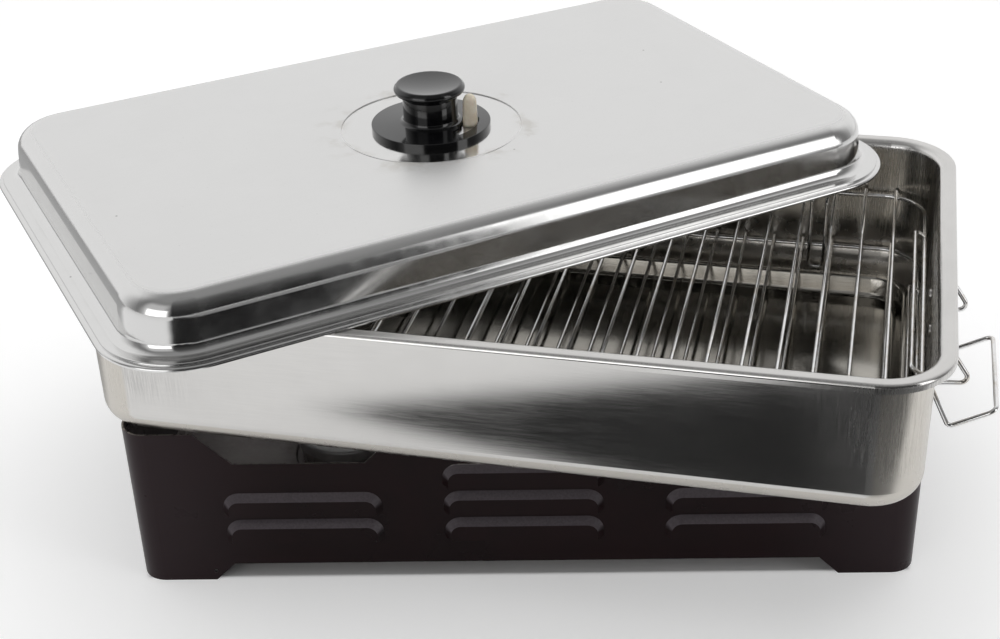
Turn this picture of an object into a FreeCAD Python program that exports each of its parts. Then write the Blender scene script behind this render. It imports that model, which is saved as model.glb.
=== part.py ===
import FreeCAD, Part
import math
import os

os.makedirs("parts", exist_ok=True)

# A tabletop smoker: a louvred stand with two spirit burners, a pan with two racks and a drip tray,
# and a loose lid that lies askew on the pan. Sizes are in millimetres, angles in degrees.
# The frame of the whole stands on the table under the middle of the stand, X along its front, Z up.
V = FreeCAD.Vector

# Where the loose pieces lie
pan_turn = -11.92
pan_x = 7.6
pan_y = -38.5
lid_turn = 28.5
lid_x = -46.0
lid_y = 22.8
seat_gap = 0.3

# Stand: one folded sheet
stand_length = 402.0
stand_width = 245.0
stand_height = 91.0
stand_corner = 13.0
stand_sheet = 1.0
foot_length = 40.0
foot_height = 10.3
notch_floor = 66.4
notch_depth = 18.2
group_pitch = 112.0
foot_hole = 1.0
foot_hole_x = -161.0
foot_hole_z = 5.7

# Louvres pressed out of the stand
louvre_length = 81.0
louvre_height = 12.3
louvre_corner = 8.5
louvre_reach = 4.0
louvre_slope = 3.2
louvre_pitch = 16.5
louvre_lowest = 26.3
side_louvres = 2
middle_louvres = 3

# Base plate inside the stand, with a round seat for each burner
plate_level = 13.0
plate_fit = 0.1
plate_flange = 9.0
plate_bend = 2.0
seat_radius = 31.0
seat_depth = 1.5

# Spirit burners
burner_x = 101.0
burner_y = -23.3
cup_radius = 26.5
cup_height = 17.0
cup_bend = 2.5
cup_sheet = 0.7
ring_radius = 28.5
ring_skirt = 6.0
ring_bend = 1.5
flame_hole = 15.0
gauze_thick = 0.8
wool_gap = 0.4

# Pan, a little larger than the stand that it rests on
pan_longer = 18.0
pan_wider = 18.6
pan_height = 74.9
pan_corner = 34.6
pan_sheet = 0.8
rim_width = 8.5
rim_lip = 4.2
rim_bend = 2.0
rim_root = 4.5
pan_foot = 12.0

# Wire handles at the two ends of the pan
handle_wire = 1.25
handle_half = 36.0
handle_bend = 2.4
ear_bend = 3.4
grip_bend = 4.0
pivot_level = 49.0
ear_reach = 20.5
ear_level = 22.0
knee_level = 19.9
elbow_reach = 12.0
elbow_level = -4.4
grip_reach = 33.6
grip_level = 7.2
left_handle_out = 11.2
strap_width = 58.0
strap_drop = 19.0
strap_sheet = 1.2
pivot_fit = 0.08
rivet_half = 18.0
rivet_radius = 1.6
rivet_head = 3.2
rivet_fit = 0.05

# Racks
rack_gap = 4.0
rack_corner = 22.0
rack_frame_wire = 1.3
rack_cross_wire = 1.0
rack_pitch = 16.4
rack_overhang = 1.6
rack_spacing = 33.5
loop_half = 70.0
loop_inset = 5.1
loop_rise = 4.2
leg_wire = 1.1
leg_cell = 8
leg_width = 8.2
leg_inset = 11.6
leg_bend = 2.6
weld_gap = 0.1

# Drip tray under the lower rack
tray_shorter = 34.0
tray_narrower = 91.6
tray_corner = 22.0
tray_sheet = 0.6
tray_depth = 9.6
tray_rim = 4.5
tray_bend = 1.6
tray_slope = 4.0
tray_foot = 3.0

# Lid
lid_overhang = 5.4
lid_corner_extra = 2.3
lid_sheet = 0.7
lid_lip = 1.7
lid_lip_bend = 1.2
lid_step = 1.1
lid_step_in = 2.4
lid_step_bend = 0.7
lid_step_root = 0.2
lid_flange = 9.3
lid_root = 5.0
lid_dome = 26.0
lid_draft = 2.1
lid_shoulder = 11.0
panel_radius = 48.0
panel_drop = 0.5

# Knob on the lid, a little off the middle
knob_x = -4.8
knob_y = -6.8
knob_disc = 31.7
knob_disc_edge = 2.9
knob_disc_rise = 0.9
knob_edge_round = 2.3
knob_foot_round = 0.4
knob_stem = 14.5
knob_seam = 6.7
knob_cap = 20.2
knob_under = 18.5
knob_cap_level = 20.9
knob_rim = 17.2
knob_top = 24.2
knob_cap_edge = 2.0
knob_dish = 1.3
knob_pocket = 28.4
knob_pocket_deep = 1.3
screw_radius = 2.5
screw_head = 4.6
screw_head_high = 2.6
washer_radius = 8.0
washer_thick = 1.0
insert_radius = 4.5
insert_length = 11.0
screw_fit = 0.1

# Smoke vent under the knob: a lever turns a thin shutter over a hole in the lid
vent_radius = 21.2
vent_angle = -35.0
vent_travel = 34.0
vent_end_gap = 3.0
lever_wide = 8.2
lever_thick = 6.4
lever_high = 17.8
lever_round = 2.2
lever_fit = 0.4
shutter_thick = 0.6
shutter_gap = 0.3
shutter_bore = 8.0
shutter_fit = 0.5
vent_hole = 3.0

# Worked out from the sizes above
pan_length = stand_length + pan_longer
pan_width = stand_width + pan_wider
tray_length = pan_length - tray_shorter
tray_width = pan_width - tray_narrower
pan_z = stand_height + seat_gap
lid_z = pan_z + pan_height
pan_half = pan_length / 2.0 - rim_width
lid_length = pan_length + 2.0 * lid_overhang
lid_width = pan_width + 2.0 * lid_overhang
lid_corner = pan_corner + lid_overhang + lid_corner_extra
flange_top = seat_gap + lid_lip + lid_step
lid_top = flange_top + lid_dome
wall_inset = lid_step_in + lid_flange
panel_top = lid_top - panel_drop
lid_under = panel_top - lid_sheet
pivot_reach = strap_sheet + handle_wire + pivot_fit
tray_level = pan_sheet + tray_sheet + seat_gap
tray_top = tray_level + tray_depth
rack_rise = rack_frame_wire + rack_cross_wire + weld_gap
lower_frame = tray_top + seat_gap + rack_cross_wire - rack_rise
upper_frame = lower_frame + rack_spacing
rack_half_x = pan_half - pan_sheet - rack_gap
rack_half_y = pan_width / 2.0 - rim_width - pan_sheet - rack_gap
cup_level = plate_level - seat_depth + plate_fit
ring_top = cup_level + cup_height + seat_gap + cup_sheet
gauze_top = ring_top - 2.0 * ring_bend - seat_gap
lever_half = math.degrees(lever_thick / 2.0 / vent_radius)


def corner_arc(before, point, after, bend):
    """Where a rounded corner starts, its middle and where it ends."""
    back = (before - point).normalize()
    ahead = (after - point).normalize()
    half = back.getAngle(ahead) / 2.0
    run = bend / math.tan(half)
    bisector = (back + ahead).normalize()
    middle = point + bisector * (bend / math.sin(half) - bend)
    return point + back * run, middle, point + ahead * run


def bent_edges(points, bends):
    """Edges along the points, with each inner point rounded by its own radius."""
    edges = []
    start = points[0]
    for before, point, after, bend in zip(points, points[1:], points[2:], bends):
        if bend <= 0.0:
            edges.append(Part.LineSegment(start, point).toShape())
            start = point
            continue
        first, middle, last = corner_arc(before, point, after, bend)
        if start.distanceToPoint(first) > 1e-6:
            edges.append(Part.LineSegment(start, first).toShape())
        edges.append(Part.Arc(first, middle, last).toShape())
        start = last
    edges.append(Part.LineSegment(start, points[-1]).toShape())
    return edges


def rod(points, bend, radius):
    """A round wire bent along the points."""
    path = Part.Wire(bent_edges(points, [bend] * (len(points) - 2)))
    circle = Part.Wire(Part.makeCircle(radius, points[0], points[1] - points[0]))
    return path.makePipeShell([circle], True, False)


def straight_rod(start, end, radius):
    """A straight round wire."""
    return Part.makeCylinder(radius, start.distanceToPoint(end), start, end - start)


def sheet_outline(points, bends, sheet):
    """A closed outline of a bent sheet. The points follow one face, and the sheet lies to their left."""
    rows = [V(x, 0.0, z) for x, z in points]
    normals = []
    for first, second in zip(rows, rows[1:]):
        along = (second - first).normalize()
        normals.append(V(-along.z, 0.0, along.x))
    other = [rows[0] + normals[0] * sheet]
    other_bends = []
    for point, left, right, bend in zip(rows[1:], normals, normals[1:], bends):
        other.append(point + (left + right) * (sheet / (1.0 + left.dot(right))))
        turns_left = left.x * right.z - left.z * right.x > 0.0
        other_bends.append(max(bend - sheet, 0.0) if turns_left else bend + sheet)
    other.append(rows[-1] + normals[-1] * sheet)
    near = bent_edges(rows, bends)
    far = bent_edges(other, other_bends)
    ends = [Part.LineSegment(rows[0], other[0]).toShape(), Part.LineSegment(rows[-1], other[-1]).toShape()]
    return Part.Face(Part.Wire(Part.__sortEdges__(near + far + ends)))


def turned_sheet(points, bends, sheet):
    """A round piece spun from sheet, from points given as radius and height."""
    return sheet_outline(points, bends, sheet).revolve(V(0, 0, 0), V(0, 0, 1), 360.0)


def turned(points, bends):
    """A solid of revolution from a closed outline of radius and height points."""
    rows = [V(x, 0.0, z) for x, z in points]
    edges = bent_edges(rows + [rows[0]], bends + [0.0])
    return Part.Face(Part.Wire(edges)).revolve(V(0, 0, 0), V(0, 0, 1), 360.0)


def frame_ring(outline, length, width, corner):
    """Carries an outline round a rounded rectangle. Its X is the distance in from the outer edge."""
    outward = outline.mirror(V(0, 0, 0), V(1, 0, 0))
    outward.translate(V(corner, 0, 0))
    half_x = length / 2.0 - corner
    half_y = width / 2.0 - corner
    pieces = []
    for quarter, (side_x, side_y) in enumerate(((1, 1), (-1, 1), (-1, -1), (1, -1))):
        centre = V(side_x * half_x, side_y * half_y, 0)
        section = outward.copy()
        section.rotate(V(0, 0, 0), V(0, 0, 1), 90.0 * quarter)
        section.translate(centre)
        pieces.append(section.revolve(centre, V(0, 0, 1), 90.0))
        section.rotate(centre, V(0, 0, 1), 90.0)
        run = 2.0 * (half_x if quarter % 2 == 0 else half_y)
        angle = math.radians(90.0 * quarter + 180.0)
        pieces.append(section.extrude(V(math.cos(angle) * run, math.sin(angle) * run, 0)))
    return pieces[0].multiFuse(pieces[1:]).removeSplitter()


def rounded_face(length, width, corner, level):
    """A flat rounded rectangle about the Z axis."""
    half_x = length / 2.0
    half_y = width / 2.0
    rows = [V(half_x, 0, level), V(half_x, half_y, level), V(-half_x, half_y, level)]
    rows += [V(-half_x, -half_y, level), V(half_x, -half_y, level), V(half_x, 0, level)]
    return Part.Face(Part.Wire(bent_edges(rows, [corner] * 4)))


def rounded_plate(length, width, corner, low, high):
    """A flat plate with rounded corners between two levels."""
    return rounded_face(length, width, corner, low).extrude(V(0, 0, high - low))


def prism(points, start, run):
    """A prism from points in the XZ plane, from one Y to another."""
    rows = [V(x, start, z) for x, z in points]
    return Part.Face(Part.makePolygon(rows + [rows[0]])).extrude(V(0, run, 0))


def joined(pieces):
    """One solid from pieces that touch or cross."""
    return pieces[0].multiFuse(pieces[1:]).removeSplitter()


def on_pan(shape):
    """Moves a shape from the pan's own frame to where the pan lies on the stand."""
    moved = shape.copy()
    moved.rotate(V(0, 0, 0), V(0, 0, 1), pan_turn)
    moved.translate(V(pan_x, pan_y, pan_z))
    return moved


def on_lid(shape):
    """Moves a shape from the lid's own frame to where the lid lies on the pan."""
    moved = shape.copy()
    moved.rotate(V(0, 0, 0), V(0, 0, 1), lid_turn)
    moved.translate(V(lid_x, lid_y, lid_z))
    return moved


def on_knob(shape):
    """Moves a shape from the knob's axis, at the lid's panel, to the lid as it lies."""
    moved = shape.copy()
    moved.translate(V(knob_x, knob_y, panel_top))
    return on_lid(moved)


def save(name, shapes):
    """Writes one node, and says how many solids it has and whether they are sound."""
    solids = [solid for shape in shapes for solid in shape.Solids]
    node = solids[0] if len(solids) == 1 else Part.makeCompound(solids)
    sound = all(solid.isValid() for solid in solids)
    volume = sum(solid.Volume for solid in solids)
    print(name, "solids", len(solids), "sound", sound, "volume", round(volume, 1))
    node.exportStep("parts/" + name + ".step")


def louvre_outline(inset, level, low, y):
    """The outline of a louvre hood, drawn in by an inset on its top and ends."""
    half = louvre_length / 2.0 - inset
    top = level + louvre_height - inset
    corner = louvre_corner - inset
    rows = [V(-half, y, low), V(-half, y, top), V(half, y, top), V(half, y, low)]
    edges = bent_edges(rows, [corner, corner])
    edges.append(Part.LineSegment(rows[-1], rows[0]).toShape())
    return Part.Wire(edges)


def louvre(level):
    """A hood pressed out of the front, open below, and the hole that it leaves in the sheet."""
    face = -stand_width / 2.0
    inner = stand_sheet
    hood = Part.makeLoft([louvre_outline(0.0, level, level, face),
                          louvre_outline(louvre_slope, level, level, face - louvre_reach)], True, True)
    below = level - louvre_height
    hollow = Part.makeLoft([louvre_outline(inner, level, below, face),
                            louvre_outline(louvre_slope + inner, level, below,
                                           face - louvre_reach + inner)], True, True)
    hole = Part.Face(louvre_outline(inner, level, level, face - inner)).extrude(V(0, 4.0 * inner, 0))
    return hood.cut(hollow), hole


def stand_louvres():
    """All hoods and holes of the front and, turned half round, of the back."""
    hoods = []
    holes = []
    counts = {-group_pitch: side_louvres, 0.0: middle_louvres, group_pitch: side_louvres}
    for middle, count in counts.items():
        for row in range(count):
            for shape, group in zip(louvre(louvre_lowest + row * louvre_pitch), (hoods, holes)):
                shape.translate(V(middle, 0, 0))
                group.append(shape)
                back = shape.copy()
                back.rotate(V(0, 0, 0), V(0, 0, 1), 180.0)
                group.append(back)
    return hoods, holes


def stand_shell():
    """The stand: a band of sheet with feet, notches over the burners and louvres."""
    inner_length = stand_length - 2.0 * stand_sheet
    inner_width = stand_width - 2.0 * stand_sheet
    band = rounded_plate(stand_length, stand_width, stand_corner, 0.0, stand_height)
    band = band.cut(rounded_plate(inner_length, inner_width, stand_corner - stand_sheet, 0.0, stand_height))
    cuts = []
    for length, across, turn in ((stand_length, stand_width, 0.0), (stand_width, stand_length, 90.0)):
        half = length / 2.0 - foot_length
        gap = prism([(-half, 0.0), (-half + foot_height, foot_height), (half - foot_height, foot_height),
                     (half, 0.0)], -across, 2.0 * across)
        gap.rotate(V(0, 0, 0), V(0, 0, 1), turn)
        cuts.append(gap)
    for middle in (-group_pitch, group_pitch):
        low = notch_floor / 2.0
        high = low + notch_depth
        cuts.append(prism([(middle - low, stand_height - notch_depth), (middle + low, stand_height - notch_depth),
                           (middle + high, stand_height), (middle - high, stand_height)],
                          -stand_width, 2.0 * stand_width))
    cuts.append(Part.makeCylinder(foot_hole, stand_width, V(foot_hole_x, -stand_width, foot_hole_z),
                                  V(0, 1, 0)))
    hoods, holes = stand_louvres()
    return [band.cut(cuts + holes).multiFuse(hoods).removeSplitter()]


def base_plate():
    """The plate across the stand, with a raised edge and a sunk seat for each burner."""
    length = stand_length - 2.0 * (stand_sheet + plate_fit)
    width = stand_width - 2.0 * (stand_sheet + plate_fit)
    corner = stand_corner - stand_sheet - plate_fit
    under = plate_level - stand_sheet
    flat = corner - plate_bend
    edge = sheet_outline([(0.0, under + plate_flange), (0.0, under), (flat, under)], [plate_bend], stand_sheet)
    ring = frame_ring(edge, length, width, corner)
    inset = (flat + plate_bend) / 2.0
    plate = rounded_plate(length - 2.0 * inset, width - 2.0 * inset, corner - inset, under, plate_level)
    floor = joined([ring, plate])
    seat_under = under - seat_depth
    for side in (-1, 1):
        place = V(side * burner_x, burner_y, 0)
        floor = floor.cut(Part.makeCylinder(seat_radius, stand_sheet, place + V(0, 0, under)))
        dish = turned_sheet([(0.0, seat_under), (seat_radius - stand_sheet, seat_under),
                             (seat_radius, under), (seat_radius + 2.0 * stand_sheet, under)],
                            [0.0, 0.0], stand_sheet)
        dish.translate(place)
        floor = floor.fuse(dish)
    return [floor.removeSplitter()]


def burner_cup():
    """The cup that holds the spirit."""
    return turned_sheet([(0.0, cup_level), (cup_radius, cup_level), (cup_radius, cup_level + cup_height)],
                        [cup_bend], cup_sheet)


def burner_ring():
    """The bright cover ring that is pressed over the cup."""
    return turned_sheet([(ring_radius, ring_top - ring_skirt), (ring_radius, ring_top),
                         (flame_hole, ring_top), (flame_hole, ring_top - 2.0 * ring_bend)],
                        [ring_bend, ring_bend], cup_sheet)


def burner_gauze():
    """The wire gauze that keeps the wadding down, seen through the ring."""
    radius = cup_radius - cup_sheet - wool_gap
    return Part.makeCylinder(radius, gauze_thick, V(0, 0, gauze_top - gauze_thick))


def burner_wool():
    """The mineral wadding that soaks up the spirit."""
    radius = cup_radius - cup_sheet - wool_gap
    low = cup_level + cup_sheet + plate_fit
    high = gauze_top - gauze_thick - plate_fit
    body = Part.makeCylinder(radius, high - low, V(0, 0, low))
    rims = [edge for edge in body.Edges if edge.BoundBox.ZLength < 0.01 and edge.BoundBox.XLength > radius]
    return body.makeFillet(cup_bend, rims)


def save_burners():
    """Both burners, piece by piece."""
    pieces = {"cup": burner_cup, "ring": burner_ring, "gauze": burner_gauze, "wool": burner_wool}
    for side, x in (("left", -burner_x), ("right", burner_x)):
        for name, make in pieces.items():
            shape = make()
            shape.translate(V(x, burner_y, 0))
            save("burner_" + name + "_" + side, [shape])


def rivet_places():
    """The pan's rivets: which end, and where along Y."""
    return [(end, y) for end in (-1, 1) for y in (-rivet_half, rivet_half)]


def rivet_level():
    """The height of the rivets, halfway down the strap."""
    return pivot_level - pivot_reach + strap_sheet - strap_drop / 2.0


def pan_shell():
    """The pan: a deep drawn box with a flat rim whose edge is turned down."""
    floor_inset = rim_width + pan_foot + pan_sheet
    low = pan_height - rim_lip
    outline = sheet_outline([(0.0, low), (0.0, pan_height), (rim_width + pan_sheet, pan_height),
                             (rim_width + pan_sheet, pan_sheet), (floor_inset, pan_sheet)],
                            [rim_bend, rim_root, pan_foot - pan_sheet], -pan_sheet)
    ring = frame_ring(outline, pan_length, pan_width, pan_corner)
    inset = floor_inset - pan_sheet / 2.0
    plate = rounded_plate(pan_length - 2.0 * inset, pan_width - 2.0 * inset, pan_corner - inset, 0.0, pan_sheet)
    body = joined([ring, plate])
    holes = []
    for end, y in rivet_places():
        start = V(end * (pan_half - 2.0 * pan_sheet), y, rivet_level())
        holes.append(Part.makeCylinder(rivet_radius + rivet_fit, 3.0 * pan_sheet, start, V(end, 0, 0)))
    return [on_pan(body.cut(holes))]


def handle(end):
    """One end's handle: a single wire bent to two ears and a grip."""
    wall = pan_half
    side = [V(wall + pivot_reach, 0, pivot_level), V(wall + ear_reach, 0, ear_level),
            V(wall + handle_wire / 2.0, 0, knee_level), V(wall + elbow_reach, 0, elbow_level),
            V(wall + grip_reach, 0, grip_level)]
    near = [point + V(0, -handle_half, 0) for point in side]
    far = [point + V(0, handle_half, 0) for point in reversed(side)]
    stub = V(wall + pivot_reach, 0, pivot_level)
    inner = handle_half / 4.0
    points = [stub + V(0, -inner, 0)] + near + far + [stub + V(0, inner, 0)]
    bends = [handle_bend, ear_bend, handle_bend, handle_bend]
    bends = bends + [grip_bend] * 2 + bends[::-1]
    path = Part.Wire(bent_edges(points, bends))
    circle = Part.Wire(Part.makeCircle(handle_wire, points[0], V(0, -1, 0)))
    wire = path.makePipeShell([circle], True, False)
    if end < 0:
        wire.rotate(stub, V(0, -1, 0), left_handle_out)
    return [on_pan(turned_to(wire, end))]


def turned_to(shape, end):
    """The same shape at the pan's right end, or turned half round to its left end."""
    moved = shape.copy()
    if end < 0:
        moved.rotate(V(0, 0, 0), V(0, 0, 1), 180.0)
    return moved


def handle_strap(end):
    """The strap that is curled round the handle's pivot and riveted to the pan."""
    wall = pan_half
    centre = V(wall + pivot_reach, -strap_width / 2.0, pivot_level)
    bore = handle_wire + pivot_fit
    curl = Part.makeCylinder(bore + strap_sheet, strap_width, centre, V(0, 1, 0))
    plate = Part.makeBox(strap_sheet, strap_width, strap_drop,
                         V(wall, -strap_width / 2.0, pivot_level - strap_drop))
    strap = curl.fuse(plate).cut(Part.makeBox(wall, strap_width, pan_height, V(0, -strap_width / 2.0, 0)))
    strap = strap.cut(Part.makeCylinder(bore, strap_width, centre, V(0, 1, 0)))
    for y in (-rivet_half, rivet_half):
        strap = strap.cut(Part.makeCylinder(rivet_radius + rivet_fit, 2.0 * strap_sheet,
                                            V(wall - strap_sheet / 2.0, y, rivet_level()), V(1, 0, 0)))
    return [on_pan(turned_to(strap.removeSplitter(), end))]


def strap_rivets(end):
    """The two rivets of one strap, with a domed head outside and a flat head inside."""
    grip = pan_sheet + strap_sheet
    dome = rivet_head / 2.0
    rivet = turned([(0.0, 0.0), (rivet_head, 0.0), (rivet_head, pan_sheet), (rivet_radius, pan_sheet),
                    (rivet_radius, pan_sheet + grip), (rivet_head, pan_sheet + grip),
                    (rivet_radius, pan_sheet + grip + dome), (0.0, pan_sheet + grip + dome)],
                   [0.0] * 5 + [dome / 2.0, 0.0])
    rivet.rotate(V(0, 0, 0), V(0, 1, 0), 90.0)
    rivets = []
    for y in (-rivet_half, rivet_half):
        shape = rivet.copy()
        shape.translate(V(pan_half - 2.0 * pan_sheet, y, rivet_level()))
        rivets.append(on_pan(turned_to(shape, end)))
    return rivets


def rack_frame(frame_level):
    """A rack's frame: a round-cornered wire with a lifting loop welded over each end."""
    outline = Part.Face(Part.Wire(Part.makeCircle(rack_frame_wire, V(rack_frame_wire, 0, frame_level),
                                                  V(0, 1, 0))))
    length = 2.0 * (rack_half_x + rack_frame_wire)
    width = 2.0 * (rack_half_y + rack_frame_wire)
    pieces = [frame_ring(outline, length, width, rack_corner + rack_frame_wire)]
    foot = frame_level + rack_frame_wire
    for end in (-1, 1):
        outer = end * rack_half_x
        inner = end * (rack_half_x - loop_inset)
        pieces.append(rod([V(outer, -loop_half, foot), V(inner, -loop_half, frame_level + loop_rise),
                           V(inner, loop_half, frame_level + loop_rise), V(outer, loop_half, foot)],
                          2.0 * rack_cross_wire, rack_cross_wire))
    return [on_pan(joined(pieces))]


def rack_wires(frame_level):
    """A rack's cross wires, spot-welded over its frame at an even pitch."""
    level = frame_level + rack_rise
    reach = rack_half_y + rack_overhang
    count = int((rack_half_x - rack_corner / 2.0) / rack_pitch)
    wires = []
    for step in range(-count, count + 1):
        x = step * rack_pitch
        wires.append(on_pan(straight_rod(V(x, -reach, level), V(x, reach, level), rack_cross_wire)))
    return wires


def rack_legs():
    """Four hairpin legs that hold the upper rack over the lower one, each inside one gap of its wires."""
    top = upper_frame
    foot = pan_sheet + seat_gap + leg_wire
    butt = rack_half_y - rack_frame_wire - weld_gap
    y = rack_half_y - leg_inset
    legs = []
    for side_x in (-1, 1):
        for side_y in (-1, 1):
            middle = side_x * (leg_cell + 0.5) * rack_pitch
            left = middle - leg_width / 2.0
            right = middle + leg_width / 2.0
            points = [V(left, side_y * butt, top), V(left, side_y * y, top), V(left, side_y * y, foot),
                      V(right, side_y * y, foot), V(right, side_y * y, top), V(right, side_y * butt, top)]
            legs.append(on_pan(rod(points, leg_bend, leg_wire)))
    return legs


def drip_tray():
    """The shallow tray under the lower rack, with a rolled rim and sloping sides."""
    floor_inset = tray_rim + tray_slope + tray_foot
    outline = sheet_outline([(0.0, tray_top - tray_rim / 2.0), (0.0, tray_top), (tray_rim, tray_top),
                             (tray_rim + tray_slope, tray_level), (floor_inset + tray_foot, tray_level)],
                            [tray_bend, tray_bend, tray_foot], -tray_sheet)
    ring = frame_ring(outline, tray_length, tray_width, tray_corner)
    inset = floor_inset + tray_foot / 2.0
    plate = rounded_plate(tray_length - 2.0 * inset, tray_width - 2.0 * inset, tray_corner - inset,
                          tray_level - tray_sheet, tray_level)
    return [on_pan(joined([ring, plate]))]


def vent_hole_at(angle, radius, low, high):
    """A round hole on the vent's circle about the knob."""
    turn = math.radians(angle)
    place = V(vent_radius * math.cos(turn), vent_radius * math.sin(turn), low)
    return Part.makeCylinder(radius, high - low, place)


def lid_shell():
    """The lid: a bead and a step at the edge, a flat flange, a domed body and a sunk panel under the knob."""
    wall_top = wall_inset + lid_draft
    end = wall_top + lid_shoulder + lid_sheet
    outline = sheet_outline([(0.0, seat_gap), (0.0, seat_gap + lid_lip), (lid_step_in, seat_gap + lid_lip),
                             (lid_step_in, flange_top), (wall_inset, flange_top), (wall_top, lid_top),
                             (end, lid_top)],
                            [lid_lip_bend, lid_step_root, lid_step_bend, lid_root, lid_shoulder], -lid_sheet)
    ring = frame_ring(outline, lid_length, lid_width, lid_corner)
    inset = end - lid_sheet / 2.0
    plate = rounded_plate(lid_length - 2.0 * inset, lid_width - 2.0 * inset, lid_corner - inset,
                          lid_top - lid_sheet, lid_top)
    middle = V(knob_x, knob_y, 0)
    plate = plate.cut(Part.makeCylinder(panel_radius, lid_sheet, middle + V(0, 0, lid_top - lid_sheet)))
    panel = Part.makeCylinder(panel_radius + lid_sheet, lid_sheet, middle + V(0, 0, lid_under))
    screw_hole = Part.makeCylinder(screw_radius + screw_fit, 2.0 * lid_sheet, middle + V(0, 0, lid_under))
    vent = vent_hole_at(vent_angle, vent_hole, lid_under, lid_top)
    vent.translate(middle)
    return [on_lid(joined([ring, plate, panel]).cut([screw_hole, vent]))]


def knob_base():
    """The knob's disc and collar, hollow below for the shutter and slotted for the lever."""
    top = knob_disc_edge + knob_disc_rise
    body = turned([(0.0, 0.0), (knob_disc, 0.0), (knob_disc, knob_disc_edge), (knob_stem, top),
                   (knob_stem, knob_seam), (0.0, knob_seam)],
                  [0.0, knob_foot_round, knob_edge_round, 0.0, 0.0])
    pocket = Part.makeCylinder(knob_pocket, knob_pocket_deep)
    hub = Part.makeCylinder(shutter_bore - shutter_fit, knob_pocket_deep)
    bore = Part.makeCylinder(screw_radius + screw_fit, knob_seam)
    inner = vent_radius - lever_wide / 2.0 - lever_fit
    outer = vent_radius + lever_wide / 2.0 + lever_fit
    sweep = vent_travel + 2.0 * (lever_half + vent_end_gap)
    slot = Part.makeCylinder(outer, knob_seam, V(0, 0, 0), V(0, 0, 1), sweep)
    slot = slot.cut(Part.makeCylinder(inner, knob_seam))
    slot.rotate(V(0, 0, 0), V(0, 0, 1), vent_angle - vent_travel - lever_half - vent_end_gap)
    return [on_knob(body.cut(pocket.cut(hub)).cut([bore, slot]))]


def knob_grip():
    """The turned grip: a stem and a mushroom cap with a dished top."""
    low = knob_seam
    body = turned([(0.0, low), (knob_stem, low), (knob_stem, knob_under), (knob_cap, knob_cap_level),
                   (knob_rim, knob_top), (0.0, knob_top)],
                  [0.0, knob_cap_edge, knob_cap_edge, knob_cap_edge / 2.0, 0.0])
    rim = knob_rim - knob_cap_edge / 2.0
    ball = (rim * rim + knob_dish * knob_dish) / (2.0 * knob_dish)
    dish = Part.makeSphere(ball, V(0, 0, knob_top - knob_dish + ball))
    socket = Part.makeCylinder(insert_radius, insert_length, V(0, 0, low))
    return [on_knob(body.cut([dish, socket]))]


def knob_insert():
    """The threaded insert moulded into the grip."""
    body = Part.makeCylinder(insert_radius, insert_length, V(0, 0, knob_seam))
    return [on_knob(body.cut(Part.makeCylinder(screw_radius + screw_fit, insert_length, V(0, 0, knob_seam))))]


def knob_screw():
    """The screw that holds the knob from inside the lid."""
    seat = -lid_sheet - washer_thick
    shank = knob_seam + insert_length - 2.0 * screw_fit
    head = turned([(0.0, seat - screw_head_high), (screw_head, seat - screw_head_high), (screw_head, seat),
                   (0.0, seat)], [screw_head_high / 2.0, 0.0, 0.0])
    slot = Part.makeBox(2.0 * screw_head, washer_thick, washer_thick,
                        V(-screw_head, -washer_thick / 2.0, seat - screw_head_high))
    stem = Part.makeCylinder(screw_radius, shank - seat, V(0, 0, seat))
    return [on_knob(joined([head, stem]).cut(slot))]


def knob_washer():
    """The washer between the screw's head and the lid."""
    low = -lid_sheet - washer_thick
    ring = Part.makeCylinder(washer_radius, washer_thick, V(0, 0, low))
    return [on_knob(ring.cut(Part.makeCylinder(screw_radius + screw_fit, washer_thick, V(0, 0, low))))]


def vent_shutter():
    """The thin ring that turns under the knob and uncovers the smoke hole."""
    ring = Part.makeCylinder(knob_pocket - shutter_fit, shutter_thick, V(0, 0, shutter_gap))
    ring = ring.cut(Part.makeCylinder(shutter_bore, shutter_thick, V(0, 0, shutter_gap)))
    # This hole comes over the one in the lid when the lever is at the far end of its slot.
    window = vent_hole_at(vent_angle + vent_travel, vent_hole, shutter_gap, shutter_gap + shutter_thick)
    return [on_knob(ring.cut(window))]


def vent_lever():
    """The upright lever that turns the shutter."""
    low = shutter_gap + shutter_thick
    body = Part.makeBox(lever_wide, lever_thick, lever_high,
                        V(vent_radius - lever_wide / 2.0, -lever_thick / 2.0, low))
    body = body.makeFillet(lever_round, [edge for edge in body.Edges if edge.BoundBox.ZMax > low + 0.01])
    body.rotate(V(0, 0, 0), V(0, 0, 1), vent_angle)
    return [on_knob(body)]


save("stand_shell", stand_shell())
save("base_plate", base_plate())
save_burners()
save("pan_shell", pan_shell())
for side, end in (("left", -1), ("right", 1)):
    save("handle_" + side, handle(end))
    save("handle_strap_" + side, handle_strap(end))
    save("strap_rivets_" + side, strap_rivets(end))
save("drip_tray", drip_tray())
for name, level in (("lower", lower_frame), ("upper", upper_frame)):
    save(name + "_rack_frame", rack_frame(level))
    save(name + "_rack_wires", rack_wires(level))
save("upper_rack_legs", rack_legs())
save("lid_shell", lid_shell())
save("knob_base", knob_base())
save("knob_grip", knob_grip())
save("knob_insert", knob_insert())
save("knob_screw", knob_screw())
save("knob_washer", knob_washer())
save("vent_shutter", vent_shutter())
save("vent_lever", vent_lever())
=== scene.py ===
import math

import bpy
from mathutils import Matrix, Vector


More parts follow.
